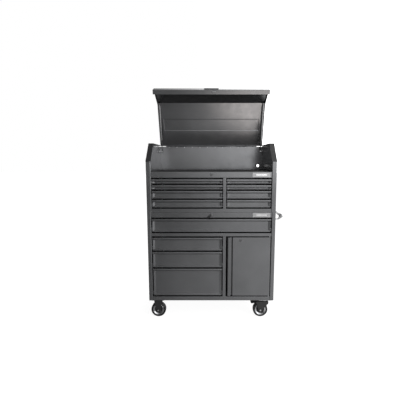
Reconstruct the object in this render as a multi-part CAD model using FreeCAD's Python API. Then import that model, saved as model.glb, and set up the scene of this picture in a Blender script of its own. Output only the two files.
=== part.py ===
# Tool chest on a rolling cabinet, 42 inches wide. The chest has a lid on two gas struts, a till under
# it and eight drawers. The cabinet below has four drawers, one door, a push handle and four castors.
# Millimetres. X runs along the front, Y from the front frame to the back, Z up from the floor, and
# every place is counted from the middle of the case. The last lines centre the part on its own box.
# The lid is built shut and then opened to the angle at which it rests on its struts.
import FreeCAD, Part
import os
from math import atan2, cos, degrees, hypot, radians, sin, tan

V = FreeCAD.Vector
ALONG_X = V(1, 0, 0)
ALONG_Y = V(0, 1, 0)
ALONG_Z = V(0, 0, 1)

# Case
case_width = 1067.0
case_depth = 561.0
sheet = 1.2
fold_radius = 1.5
rear_flange = 20.0

# Front frame
chest_post_width = 40.0
cabinet_post_width = 33.5
post_fold_radius = 5.0
post_return = 22.0
rail_flange = 24.0
divider_width = 27.0
divider_centre = 108.5
cabinet_bottom_rail = 35.5
middle_rail = 27.0
cabinet_top_rail = 43.5
chest_bottom_rail = 31.0
chest_top_rail = 48.0

# Side walls above the till
post_rise = 88.0
wing_rise = 148.0
wing_angle = 45.0
cap_thickness = 4.0
cap_rib_depth = 12.0
cap_rib_gap = 0.4
cap_overhang = 1.0

# Drawers, top to bottom
chest_fronts = (37.0, 37.0, 63.0, 63.0)
wide_front = 110.0
cabinet_fronts = (111.0, 135.0, 237.0)
front_gap = 11.0
pull_end_gap = 5.5
panel_end_gap = 9.0
front_depth = 18.0
pull_height = 14.0
pull_proud = 7.0
pull_wall = 2.5
pull_nose_radius = 5.0
finger_height = 8.5
scoop_depth = 13.0
scoop_rise = 7.0
dish_depth = 4.0
dish_side_border = 3.0
dish_side_bevel = 16.0
dish_bottom_border = 8.0
dish_bottom_share = 0.28
tray_length = 500.0
tray_below_front_top = 9.0
tray_above_front_bottom = 2.0
hem_height = 7.0

# Drawer slides
slide_height = 25.0
slide_width = 12.7
slide_length = 498.0
slide_running_gap = 0.5
slide_tip_gap = 0.6
slide_setback = 1.0
slide_above_tray = 1.5

# Door
door_end_gap = 8.5
door_pull_gap = 13.0
door_hinge_gap = 4.0
door_depth = 18.0
door_pull_width = 27.0
door_pull_proud = 9.0
door_nose_radius = 8.0
door_finger_width = 17.0
door_scoop_depth = 14.0
door_scoop_rise = 8.0
door_corner_radius = 3.0
door_pivot_inset = 6.5
door_pivot_depth = 8.5
door_pin_radius = 3.0
door_pin_reach = 9.0
door_block_height = 12.0
door_collar_radius = 5.0
door_collar_gap = 0.5
door_lock_inset = 64.0
door_lock_drop = 27.0

# Till
till_mat_thickness = 3.0
till_mat_border = 3.0
latch_slot_length = 34.0
latch_slot_front = 4.0
latch_slot_back = 17.5
latch_offset = 24.0

# Cable hole in the back wall
cable_hole_offset = 455.0
cable_hole_rise = 40.0
grommet_outer_radius = 22.0
grommet_groove_radius = 18.0
grommet_bore_radius = 13.5
grommet_inner_length = 6.0
grommet_rear_flange = 2.8
grommet_taper = 2.0
grommet_gap = 0.05

# Lid
lid_side_gap = 3.5
lid_below_side_top = 4.0
lid_above_hinge = 3.0
lid_bend_distance = 148.5
lid_lip_gap = 5.0
lid_lip_return = 37.0
lid_rear_flange = 15.0
lid_skirt = 28.0
lid_open_angle = 70.0
band_near_bend = 146.0
band_far_bend = 257.0
band_height = 2.0
band_bevel = 5.0
band_side_margin = 42.0
lid_pull_length = 120.0
lid_pull_reach = 12.0
lid_pull_height = 14.0
lid_pull_wall = 3.0
lid_pull_above_lip = 6.0
striker_width = 28.0
striker_drop = 14.0
striker_wire = 4.0
striker_setback = 12.0

# Piano hinge
hinge_radius = 3.5
hinge_pin_radius = 1.6
hinge_leaf = 1.2
hinge_leaf_height = 16.0
hinge_length = 880.0
hinge_knuckles = 9
hinge_end_play = 0.3
back_below_hinge = 6.0
running_fit = 0.05

# Gas struts
strut_offset = 473.0
strut_lid_along = 402.0
strut_lid_below = 18.0
strut_case_forward = 26.0
strut_case_below = 53.0
strut_tube_radius = 9.0
strut_rod_radius = 4.0
strut_rod_showing = 108.0
strut_end_radius = 7.5
strut_end_width = 14.0
strut_tube_to_pivot = 20.0
strut_plug = 14.0
strut_stroke_spare = 72.0
stud_radius = 3.0
stud_gap = 0.4
stud_seat = 3.0
stud_seat_radius = 5.5
bracket_length = 56.0
bracket_height = 34.0
bracket_thickness = 1.6

# Badge plates
badge_length = 145.0
badge_height = 36.0
badge_thickness = 1.2
badge_corner_radius = 3.0
badge_end_gap = 12.0
badge_bar_length = 88.0
badge_bar_height = 13.0
badge_rivet_spacing = 105.0
rivet_radius = 3.5
rivet_height = 1.6

# Locks and key
lock_flange_radius = 11.5
lock_flange_thickness = 2.5
lock_barrel_radius = 9.5
lock_barrel_length = 19.0
lock_hole_gap = 0.3
lock_plug_radius = 7.0
lock_plug_proud = 0.8
keyway_width = 2.4
keyway_height = 9.0
keyway_depth = 6.0
cam_length = 26.0
cam_width = 12.0
cam_thickness = 2.5
key_angle = 58.0
key_blade_thickness = 2.0
key_blade_width = 8.0
key_blade_showing = 13.0
key_head_length = 36.0
key_head_thickness = 8.0
key_head_width = 20.0
key_cheek_gap = 0.3
key_pin_radius = 1.5

# Side handle
handle_radius = 11.0
handle_length = 420.0
handle_front = 62.0
handle_stand_off = 58.0
handle_below_top = 40.0
handle_seat_gap = 0.05
bracket_drop = 69.0
bracket_top_gap = 4.0
bracket_arm = 7.0
bracket_width = 14.0
bracket_inset = 16.0
bracket_outer_wall = 3.5
handle_cap_thickness = 6.0
handle_cap_overhang = 1.5

# Castors
castor_height = 160.0
wheel_radius = 63.5
wheel_width = 46.0
tyre_inner_radius = 45.0
tyre_gap = 0.05
hub_boss_radius = 13.0
axle_radius = 6.0
axle_head_radius = 10.0
axle_head_height = 6.0
castor_inset_x = 73.5
castor_inset_y = 50.0
castor_plate_x = 105.0
castor_plate_y = 88.0
castor_plate_thickness = 4.0
fork_wall = 4.0
fork_side_gap = 3.5
fork_hub_gap = 0.5
fork_crown_height = 140.0
fork_crown_thickness = 6.0
fork_foot_radius = 17.0
fork_crown_half = 34.0
swivel_offset = 34.0
race_radius = 31.0
race_gap = 0.3
race_height = 8.0
kingpin_radius = 6.0
pedal_pivot_offset = 62.0
pedal_pivot_height = 131.0
pedal_pin_radius = 4.0
pedal_reach = 50.0
pedal_thickness = 4.0
pedal_lip = 8.0
pedal_side_gap = 1.5
pedal_slope = 8.0
channel_height = 22.0
channel_width = 70.0
channel_flange = 10.0

# Heights of the front frame, from the floor up
body_bottom = castor_height
low_bottom = body_bottom + cabinet_bottom_rail
low_top = low_bottom + sum(cabinet_fronts) + front_gap * (len(cabinet_fronts) + 1)
wide_bottom = low_top + middle_rail
wide_top = wide_bottom + wide_front + 2 * front_gap
cabinet_top = wide_top + cabinet_top_rail
chest_low = cabinet_top + chest_bottom_rail
chest_high = chest_low + sum(chest_fronts) + front_gap * (len(chest_fronts) + 1)
till_level = chest_high + chest_top_rail
post_top = till_level + post_rise
side_top = post_top + wing_rise

# Planes of the case
half_width = case_width / 2
cabinet_inner = half_width - cabinet_post_width
chest_inner = half_width - chest_post_width
divider_left = divider_centre - divider_width / 2
divider_right = divider_centre + divider_width / 2
back_inner = case_depth - sheet
wing_run = wing_rise / tan(radians(wing_angle))

# Lid hinge
leaf_offset = hinge_radius - hinge_leaf / 2 + hinge_leaf
hinge_y = back_inner - leaf_offset
hinge_z = side_top - lid_below_side_top - lid_above_hinge
lid_rear = hinge_y - leaf_offset
lid_half = chest_inner - lid_side_gap
lid_top = hinge_z + lid_above_hinge
back_top = hinge_z - back_below_hinge
lip_bottom = till_level + lid_lip_gap
strut_top = (hinge_y - strut_lid_along, hinge_z - strut_lid_below)
strut_foot = (hinge_y - strut_case_forward, hinge_z - strut_case_below)

# Places of the locks and the cable hole
chest_lock_z = (chest_high + till_level) / 2
cabinet_lock_z = (wide_top + cabinet_top) / 2
cable_z = till_level + cable_hole_rise


def box(x0, x1, y0, y1, z0, z1):
    return Part.makeBox(x1 - x0, y1 - y0, z1 - z0, V(x0, y0, z0))


def round_bar(start, axis, radius, length):
    return Part.makeCylinder(radius, length, start, axis)


def across(x):
    """Sketch plane square to X: first coordinate Y, second Z."""
    return lambda u, v: V(x, u, v)


def facing(y):
    """Sketch plane square to Y: first coordinate X, second Z."""
    return lambda u, v: V(u, y, v)


def level(z):
    """Sketch plane square to Z: first coordinate X, second Y."""
    return lambda u, v: V(u, v, z)


def outline(points, plane, radii=None):
    """Closed face through the points, with each corner rounded by its own radius."""
    count = len(points)
    radii = radii or [0] * count
    corners = []
    for i, (px, py) in enumerate(points):
        ax, ay = points[i - 1][0] - px, points[i - 1][1] - py
        bx, by = points[(i + 1) % count][0] - px, points[(i + 1) % count][1] - py
        la, lb = hypot(ax, ay), hypot(bx, by)
        ax, ay, bx, by = ax / la, ay / la, bx / lb, by / lb
        if not radii[i]:
            corners.append([(px, py)])
            continue
        half = atan2(abs(ax * by - ay * bx), ax * bx + ay * by) / 2
        reach = radii[i] / tan(half)
        mx, my = ax + bx, ay + by
        lm = hypot(mx, my)
        mid = radii[i] / sin(half) - radii[i]
        corners.append([
            (px + ax * reach, py + ay * reach),
            (px + mx / lm * mid, py + my / lm * mid),
            (px + bx * reach, py + by * reach),
        ])
    edges = []
    for i, corner in enumerate(corners):
        here = [plane(*p) for p in corner]
        if len(here) == 3:
            edges.append(Part.Arc(*here).toShape())
        ahead = plane(*corners[(i + 1) % count][0])
        if here[-1].distanceToPoint(ahead) > 1e-6:
            edges.append(Part.makeLine(here[-1], ahead))
    return Part.Face(Part.Wire(edges))


def offset_path(points, distance):
    """The open path moved to its left by the distance, with mitred corners."""
    ways = []
    for (x0, y0), (x1, y1) in zip(points, points[1:]):
        length = hypot(x1 - x0, y1 - y0)
        ways.append(((x1 - x0) / length, (y1 - y0) / length))
    moved = []
    for i, (x, y) in enumerate(points):
        ux, uy = ways[max(i - 1, 0)]
        wx, wy = ways[min(i, len(ways) - 1)]
        nx, ny = -uy - wy, ux + wx
        scale = 2 * distance / (nx * nx + ny * ny)
        moved.append((x + nx * scale, y + ny * scale))
    return moved


def folded(points, plane, bends, thickness=None):
    """Section of a folded sheet: the path is its outer face and the wall lies to the left of it.

    bends gives the inner radius of each fold, in the order of the path's inner points.
    """
    wall = thickness or sheet
    inner = offset_path(points, wall)
    outer_radii, inner_radii = [0], [0]
    for i, bend in enumerate(bends, 1):
        (x0, y0), (x1, y1), (x2, y2) = points[i - 1:i + 2]
        left_turn = (x1 - x0) * (y2 - y1) - (y1 - y0) * (x2 - x1) > 0
        outer_radii.append((bend + wall if left_turn else bend) if bend else 0)
        inner_radii.append((bend if left_turn else bend + wall) if bend else 0)
    radii = outer_radii + [0] + (inner_radii + [0])[::-1]
    return outline(points + inner[::-1], plane, radii)


def turned(profile, base, axis):
    """Solid of revolution about the axis through base: the profile holds (radius, height) pairs."""
    face = outline(profile, facing(0))
    solid = face.revolve(V(0, 0, 0), ALONG_Z, 360)
    solid.Placement = FreeCAD.Placement(base, FreeCAD.Rotation(ALONG_Z, axis))
    return solid


def mirrored(shape):
    """The same piece on the other side of the case."""
    return shape.mirror(V(0, 0, 0), ALONG_X)


def pair(shape):
    return Part.makeCompound([mirrored(shape), shape])


def group(shapes):
    return Part.makeCompound(list(shapes))


def fused(first, *others):
    return first.multiFuse(list(others)).removeSplitter()


def wing_line(inset, front=0.0):
    """Top edge of a side wall from the front post to the back, moved in by inset."""
    slope = radians(wing_angle)
    return [
        (front, post_top + front * tan(slope) - inset / cos(slope)),
        (wing_run + inset * tan(slope / 2), side_top - inset),
        (back_inner, side_top - inset),
    ]


def below_wing(x0, x1, bottom, inset):
    """Block under the sloped top edge, to trim a wall to it."""
    points = [(-sheet, bottom)] + wing_line(inset, -sheet) + [(back_inner, bottom)]
    return outline(points, across(x0)).extrude(ALONG_X * (x1 - x0))


def side_panel(post_width, bottom, top):
    """Outer wall with its front edge rolled into the frame post and its rear edge folded in."""
    inner = half_width - post_width
    path = [
        (inner, post_return),
        (inner, 0),
        (half_width, 0),
        (half_width, back_inner),
        (half_width - rear_flange, back_inner),
    ]
    bends = [post_fold_radius, post_fold_radius, fold_radius]
    return folded(path, level(bottom), bends).extrude(ALONG_Z * (top - bottom))


def liner(inner, bottom, top):
    """Inner wall that carries the slides, with a flange at its foot."""
    wall = box(inner, inner + sheet, post_return, back_inner - sheet, bottom, top)
    foot = box(inner, inner + rear_flange, post_return, back_inner - sheet, bottom, bottom + sheet)
    return fused(wall, foot)


def rail(inner, bottom, top):
    """Channel across the front, open to the back."""
    path = [(rail_flange, top), (0, top), (0, bottom), (rail_flange, bottom)]
    section = folded(path, across(-inner), [fold_radius, fold_radius])
    return section.extrude(ALONG_X * 2 * inner)


def divider_post(bottom, top):
    """Upright channel between the two bays of drawers."""
    path = [(divider_left, rail_flange), (divider_left, 0), (divider_right, 0), (divider_right, rail_flange)]
    section = folded(path, level(bottom), [fold_radius, fold_radius])
    return section.extrude(ALONG_Z * (top - bottom))


def partition(bottom, top):
    """Double wall behind the divider post, folded from one sheet and open at the front."""
    path = [
        (divider_left, rail_flange),
        (divider_left, back_inner),
        (divider_right, back_inner),
        (divider_right, rail_flange),
    ]
    outer = outline(path, level(bottom)).extrude(ALONG_Z * (top - bottom))
    inside = box(divider_left + sheet, divider_right - sheet, rail_flange - sheet, back_inner - sheet, bottom, top)
    return outer.cut(inside)


def castor_rows():
    return (castor_inset_y, case_depth - castor_inset_y)


def lock_hole(x, z):
    radius = lock_barrel_radius + lock_hole_gap
    return round_bar(V(x, -lock_flange_thickness, z), ALONG_Y, radius, door_depth + 2 * lock_flange_thickness)


def cabinet_case():
    floor_top = body_bottom + sheet
    deck_bottom = cabinet_top - 2 * sheet
    wall_x = half_width - sheet
    pan_back = back_inner - sheet - fold_radius
    pans = [box(-wall_x, wall_x, rail_flange, pan_back, body_bottom, floor_top)]
    for y in castor_rows():
        half = channel_width / 2
        path = [
            (y - half - channel_flange, floor_top),
            (y - half, floor_top),
            (y - half, floor_top + channel_height - sheet),
            (y + half, floor_top + channel_height - sheet),
            (y + half, floor_top),
            (y + half + channel_flange, floor_top),
        ]
        section = folded(path, across(-cabinet_inner), [0, 0, 0, 0])
        pans.append(section.extrude(ALONG_X * 2 * cabinet_inner))
    rails = [
        rail(cabinet_inner, body_bottom, low_bottom),
        rail(cabinet_inner, low_top, wide_bottom),
        rail(cabinet_inner, wide_top, cabinet_top).cut(lock_hole(0, cabinet_lock_z)),
        divider_post(low_bottom, low_top),
    ]
    side = side_panel(cabinet_post_width, body_bottom, cabinet_top)
    inner_wall = liner(cabinet_inner, floor_top, deck_bottom)
    middle_wall = partition(floor_top + channel_height, low_top)
    return {
        "cabinet_side_panels": pair(side),
        "cabinet_inner_walls": group([mirrored(inner_wall), inner_wall, middle_wall]),
        "cabinet_back_panel": box(-half_width, half_width, back_inner, case_depth, body_bottom, cabinet_top),
        "cabinet_floor_pan": group(pans),
        "cabinet_deck": box(-wall_x, wall_x, post_return, pan_back, deck_bottom, cabinet_top - sheet),
        "cabinet_front_rails": group(rails),
    }


def chest_case():
    floor_bottom = cabinet_top + sheet
    floor_top = floor_bottom + sheet
    wall_x = half_width - sheet
    pan_back = back_inner - sheet - fold_radius
    till_top = till_level - sheet
    trim = below_wing(0, half_width, cabinet_top, cap_thickness)
    side = side_panel(chest_post_width, cabinet_top, side_top).common(trim)
    inner_wall = liner(chest_inner, floor_top, side_top).common(trim)
    middle_wall = partition(floor_top, till_top - sheet)
    top_rail = rail(chest_inner, chest_high, till_level).cut(lock_hole(0, chest_lock_z))
    half_slot = latch_slot_length / 2
    slot = box(
        latch_offset - half_slot,
        latch_offset + half_slot,
        latch_slot_front,
        latch_slot_back,
        till_level - rail_flange,
        till_level + sheet,
    )
    rails = [
        rail(chest_inner, cabinet_top, chest_low),
        top_rail.cut(slot),
        divider_post(chest_low, chest_high),
    ]
    back = box(-half_width, half_width, back_inner, case_depth, cabinet_top, back_top)
    hole_start = V(cable_hole_offset, back_inner - sheet, cable_z)
    hole = round_bar(hole_start, ALONG_Y, grommet_groove_radius + grommet_gap, 3 * sheet)
    mat_edge = chest_inner - till_mat_border
    mat = box(
        -mat_edge,
        mat_edge,
        rail_flange + till_mat_border,
        back_inner - till_mat_border,
        till_top,
        till_top + till_mat_thickness,
    )
    return {
        "chest_side_panels": pair(side),
        "chest_inner_walls": group([mirrored(inner_wall), inner_wall, middle_wall]),
        "chest_back_panel": back.cut(hole),
        "chest_floor_pan": box(-wall_x, wall_x, post_return, pan_back, floor_bottom, floor_top),
        "chest_front_rails": group(rails),
        "till_floor": box(-chest_inner, chest_inner, post_return, back_inner, till_top - sheet, till_top),
        "till_mat": mat,
        "side_caps": pair(side_cap()),
        "cable_grommet": grommet(),
    }


def side_cap():
    """Moulded cap over both walls of a side, with a rib that drops between them."""
    x0 = chest_inner - cap_overhang
    band = outline(wing_line(0) + wing_line(cap_thickness)[::-1], across(x0))
    band = band.extrude(ALONG_X * (half_width - x0))
    x1 = chest_inner + sheet + cap_rib_gap
    x2 = half_width - sheet - cap_rib_gap
    depth = cap_thickness + cap_rib_depth
    rib = outline(wing_line(cap_thickness) + wing_line(depth)[::-1], across(x1)).extrude(ALONG_X * (x2 - x1))
    seat = box(x1, x2, post_return + sheet, back_inner - 2 * sheet, post_top - depth, side_top)
    return fused(band, rib.common(seat))


def grommet():
    """Rubber bush snapped into the back wall: two flanges with a groove between them."""
    inside = back_inner - grommet_inner_length
    profile = [
        (grommet_bore_radius, 0),
        (grommet_outer_radius - grommet_taper, 0),
        (grommet_outer_radius, grommet_taper),
        (grommet_outer_radius, grommet_inner_length),
        (grommet_groove_radius, grommet_inner_length),
        (grommet_groove_radius, grommet_inner_length + sheet),
        (grommet_outer_radius, grommet_inner_length + sheet),
        (grommet_outer_radius, grommet_inner_length + sheet + grommet_rear_flange),
        (grommet_bore_radius, grommet_inner_length + sheet + grommet_rear_flange),
    ]
    return turned(profile, V(cable_hole_offset, inside, cable_z), ALONG_Y)


def badge(inner, z):
    """Blank trim plate with a raised bar, and the two rivets that hold it."""
    x1 = inner - badge_end_gap
    x0 = x1 - badge_length
    middle = (x0 + x1) / 2
    z0 = z - badge_height / 2
    corners = [(x0, z0), (x1, z0), (x1, z0 + badge_height), (x0, z0 + badge_height)]
    plate = outline(corners, facing(-badge_thickness), [badge_corner_radius] * 4)
    plate = plate.extrude(ALONG_Y * badge_thickness)
    half = badge_bar_length / 2
    raised = box(
        middle - half,
        middle + half,
        -2 * badge_thickness,
        -badge_thickness,
        z - badge_bar_height / 2,
        z + badge_bar_height / 2,
    )
    rivets = []
    for x in (middle - badge_rivet_spacing / 2, middle + badge_rivet_spacing / 2):
        head = [(0, 0), (rivet_radius, 0), (rivet_radius * 0.6, rivet_height), (0, rivet_height)]
        rivets.append(turned(head, V(x, -badge_thickness, z), -ALONG_Y))
    return fused(plate, raised), rivets


def side_handle():
    """Tube along the right side of the cabinet, carried by two open cast brackets."""
    z = cabinet_top - handle_below_top
    x = half_width + handle_stand_off
    tube = round_bar(V(x, handle_front, z), ALONG_Y, handle_radius, handle_length)
    cap_radius = handle_radius + handle_cap_overhang
    ends = [(0, 0), (cap_radius, 0), (cap_radius, handle_cap_thickness * 0.6)]
    ends += [(cap_radius * 0.7, handle_cap_thickness), (0, handle_cap_thickness)]
    caps = [
        turned(ends, V(x, handle_front, z), -ALONG_Y),
        turned(ends, V(x, handle_front + handle_length, z), ALONG_Y),
    ]
    top = cabinet_top - bracket_top_gap
    foot = top - bracket_drop
    boss = handle_radius + bracket_outer_wall
    shape = [
        (half_width, foot),
        (half_width, top),
        (half_width + bracket_arm, top),
        (x + boss * 0.45, z + boss),
        (x + boss, z),
        (x + boss * 0.3, z - boss * 1.4),
        (x - boss * 1.2, foot),
    ]
    body = outline(shape, facing(0), [0, 0, 4, 8, 9, 10, 12])
    hole = outline(
        [
            (half_width + bracket_arm, foot + bracket_arm),
            (half_width + bracket_arm, top - 1.6 * bracket_arm),
            (x - boss, z + 0.5 * boss),
            (x - boss, z - 0.6 * boss),
            (x - 1.5 * boss, foot + bracket_arm),
        ],
        facing(0),
        [3, 3, 3, 3, 3],
    )
    section = body.cut(hole)
    brackets = []
    for y in (handle_front + bracket_inset, handle_front + handle_length - bracket_inset - bracket_width):
        block = section.extrude(ALONG_Y * bracket_width)
        block.translate(V(0, y, 0))
        bore = round_bar(V(x, y, z), ALONG_Y, handle_radius + handle_seat_gap, bracket_width)
        brackets.append(block.cut(bore))
    return {"side_handle": group([tube] + caps), "side_handle_brackets": group(brackets)}


def channel(x_web, way, z0, height, depth, y0, length):
    """Slide member: its web stands at x_web and its flanges point the given way along X."""
    tip = x_web + way * depth
    path = [(tip, z0 + height), (x_web, z0 + height), (x_web, z0), (tip, z0)]
    if way < 0:
        path.reverse()
    return folded(path, facing(y0), [0, 0]).extrude(ALONG_Y * length)


def drawer_places():
    """Name, opening edges and bottom and top of the front of each drawer."""
    places = []
    for side, x0, x1 in (("left", -chest_inner, divider_left), ("right", divider_right, chest_inner)):
        top = chest_high
        for number, height in enumerate(chest_fronts, 1):
            top -= front_gap
            places.append((f"chest_drawer_{side}_{number}", x0, x1, top - height, top))
            top -= height
    top = wide_top - front_gap
    places.append(("cabinet_drawer_wide", -cabinet_inner, cabinet_inner, top - wide_front, top))
    top = low_top
    for number, height in enumerate(cabinet_fronts, 1):
        top -= front_gap
        places.append((f"cabinet_drawer_left_{number}", -cabinet_inner, divider_left, top - height, top))
        top -= height
    return places


def drawer_front(x0, x1, z0, z1):
    """Front of one drawer: a dished sheet that scoops back under a full-width rolled pull."""
    shoulder = z1 - pull_height - finger_height
    path = [
        (scoop_depth, z1 - pull_wall / 2),
        (scoop_depth, shoulder + scoop_rise),
        (0, shoulder),
        (0, z0),
        (front_depth, z0),
    ]
    left, right = x0 + panel_end_gap, x1 - panel_end_gap
    pan = folded(path, across(left), [0, fold_radius, fold_radius]).extrude(ALONG_X * (right - left))
    end = [
        (0, z0),
        (0, shoulder),
        (scoop_depth, shoulder + scoop_rise),
        (scoop_depth, z1 - pull_wall / 2),
        (front_depth, z1 - pull_wall / 2),
        (front_depth, z0),
    ]
    bend = fold_radius + sheet
    end_bends = [bend, bend, 0, 0, 0, 0]
    ends = [outline(end, across(x), end_bends).extrude(ALONG_X * sheet) for x in (left, right - sheet)]
    nose = [
        (front_depth, z1),
        (-pull_proud, z1),
        (-pull_proud, z1 - pull_height),
        (-pull_proud + pull_wall, z1 - pull_height),
        (-pull_proud + pull_wall, z1 - pull_wall),
        (front_depth, z1 - pull_wall),
    ]
    lip = pull_wall * 0.45
    rounds = [0, pull_nose_radius, lip, lip, pull_nose_radius - pull_wall, 0]
    start = x0 + pull_end_gap
    pull = outline(nose, across(start), rounds).extrude(ALONG_X * (x1 - pull_end_gap - start))
    border = min(dish_bottom_border, dish_bottom_share * (shoulder - z0))
    fields = []
    scoop_at_dish = shoulder + dish_depth * scoop_rise / scoop_depth
    for grow, deep, top in ((sheet, dish_depth + sheet, scoop_at_dish), (0, dish_depth, shoulder + finger_height / 2)):
        fields.append(Part.makeWedge(
            left + dish_side_border - grow,
            0,
            z0 + border - grow,
            z0 + 2 * border - grow,
            left + dish_side_border + dish_side_bevel - grow,
            right - dish_side_border + grow,
            deep,
            top,
            top,
            right - dish_side_border - dish_side_bevel + grow,
        ))
    return fused(pan, *ends, pull, fields[0]).cut(fields[1])


def drawer_tray(x0, x1, z0, z1):
    """Folded drawer box with hemmed top edges."""
    y0, y1 = front_depth, front_depth + tray_length
    body = box(x0, x1, y0, y1, z0, z1)
    room = box(x0 + sheet, x1 - sheet, y0 + sheet, y1 - sheet, z0 + sheet, z1 - hem_height)
    mouth = box(x0 + 2 * sheet, x1 - 2 * sheet, y0 + 2 * sheet, y1 - 2 * sheet, z0 + sheet, z1)
    return body.cut(room).cut(mouth)


def drawers():
    """All drawers, and the fixed slide channels that carry them."""
    nodes, fixed = {}, []
    outer_reach = slide_width - slide_tip_gap
    reach = outer_reach - sheet
    inner_height = slide_height - 2 * sheet - 2 * slide_running_gap
    for name, x0, x1, z0, z1 in drawer_places():
        tray_z = z0 + tray_above_front_bottom
        tray_left, tray_right = x0 + slide_width, x1 - slide_width
        tray = drawer_tray(tray_left, tray_right, tray_z, z1 - tray_below_front_top)
        slide_z = tray_z + slide_above_tray
        inner_z = slide_z + sheet + slide_running_gap
        y0 = front_depth + slide_setback
        runners = [
            channel(tray_left, -1, inner_z, inner_height, reach, y0, slide_length),
            channel(tray_right, 1, inner_z, inner_height, reach, y0, slide_length),
        ]
        nodes[name] = group([drawer_front(x0, x1, z0, z1), tray] + runners)
        y1 = rail_flange + slide_setback
        fixed.append(channel(x0, 1, slide_z, slide_height, outer_reach, y1, slide_length))
        fixed.append(channel(x1, -1, slide_z, slide_height, outer_reach, y1, slide_length))
    nodes["slide_channels"] = group(fixed)
    return nodes


def door():
    """Folded door with its pull rolled along the free edge, and the pins it turns on."""
    left, right = divider_right + door_pull_gap, cabinet_inner - door_hinge_gap
    z0, z1 = low_bottom + door_end_gap, low_top - door_end_gap
    shoulder = left + door_pull_width + door_finger_width
    path = [
        (left + pull_wall / 2, door_scoop_depth),
        (shoulder - door_scoop_rise, door_scoop_depth),
        (shoulder, 0),
        (right, 0),
        (right, door_depth),
    ]
    bends = [0, fold_radius, door_corner_radius - sheet]
    height = ALONG_Z * (z1 - z0)
    skin = folded(path, level(z0), bends).extrude(height)
    end = path[:4] + [(right, door_depth), (left + pull_wall / 2, door_depth)]
    end_bends = [0, 0, fold_radius + sheet, door_corner_radius, 0, 0]
    ends = [outline(end, level(z), end_bends).extrude(ALONG_Z * sheet) for z in (z0, z1 - sheet)]
    nose = [
        (left, door_depth),
        (left, -door_pull_proud),
        (left + door_pull_width, -door_pull_proud),
        (left + door_pull_width, -door_pull_proud + pull_wall),
        (left + pull_wall, -door_pull_proud + pull_wall),
        (left + pull_wall, door_depth),
    ]
    lip = pull_wall * 0.45
    rounds = [0, door_nose_radius, lip, lip, door_nose_radius - pull_wall, 0]
    pull = outline(nose, level(z0), rounds).extrude(height)
    pivot_x = right - door_pivot_inset
    blocks, bores, pins = [], [], []
    for z, way in ((z0, 1), (z1, -1)):
        low, high = sorted((z, z + way * door_block_height))
        block = outline(
            [
                (right - 3 * door_pivot_inset, sheet),
                (right - sheet, sheet),
                (right - sheet, door_depth - sheet),
                (right - 3 * door_pivot_inset, door_depth - sheet),
            ],
            level(low),
            [0, door_corner_radius - sheet, 0, 0],
        )
        blocks.append(block.extrude(ALONG_Z * (high - low)))
        centre = V(pivot_x, door_pivot_depth, z)
        up = ALONG_Z * way
        bore_start = centre - up * sheet
        bores.append(round_bar(bore_start, up, door_pin_radius + running_fit, door_block_height + 2 * sheet))
        foot = centre - up * door_end_gap
        collar = round_bar(foot, up, door_collar_radius, door_end_gap - door_collar_gap)
        pin = round_bar(foot, up, door_pin_radius, door_end_gap + door_pin_reach)
        pins.append(fused(collar, pin))
    lock_x, lock_z = door_lock_place()
    hole = lock_hole(lock_x, lock_z)
    outer = fused(skin, *ends, pull, *blocks).cut(group(bores)).cut(hole)
    inner = box(
        left + pull_wall,
        right - sheet,
        door_depth - sheet,
        door_depth,
        z0 + sheet,
        z1 - sheet,
    )
    return {
        "door_panel": group([outer, inner.cut(hole)]),
        "door_hinge_pins": group(pins),
    }


def door_lock_place():
    shoulder = divider_right + door_pull_gap + door_pull_width + door_finger_width
    return shoulder + door_lock_inset, low_top - door_end_gap - door_lock_drop


def lock_housing(x, z):
    """Flanged barrel, with the bore that its plug turns in."""
    bore = lock_plug_radius + running_fit
    profile = [
        (bore, -lock_flange_thickness),
        (lock_flange_radius - lock_flange_thickness / 2, -lock_flange_thickness),
        (lock_flange_radius, 0),
        (lock_barrel_radius, 0),
        (lock_barrel_radius, lock_barrel_length),
        (bore, lock_barrel_length),
    ]
    return turned(profile, V(x, 0, z), ALONG_Y)


def lock_plug(x, z, tail, turn):
    """Plug with a keyway, and the cam on its tail."""
    front = -lock_flange_thickness - lock_plug_proud
    plug = round_bar(V(x, front, z), ALONG_Y, lock_plug_radius, tail - front)
    half = keyway_width / 2
    slot = box(x - half, x + half, front, front + keyway_depth, z - keyway_height / 2, z + keyway_height / 2)
    slot.rotate(V(x, 0, z), ALONG_Y, turn)
    half = cam_width / 2
    shape = [(x - half, z - cam_length), (x + half, z - cam_length), (x + half, z + half), (x - half, z + half)]
    cam = outline(shape, facing(tail), [3, 3, 5, 5]).extrude(ALONG_Y * cam_thickness)
    cam.rotate(V(x, 0, z), ALONG_Y, turn)
    return fused(plug.cut(slot), cam)


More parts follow.
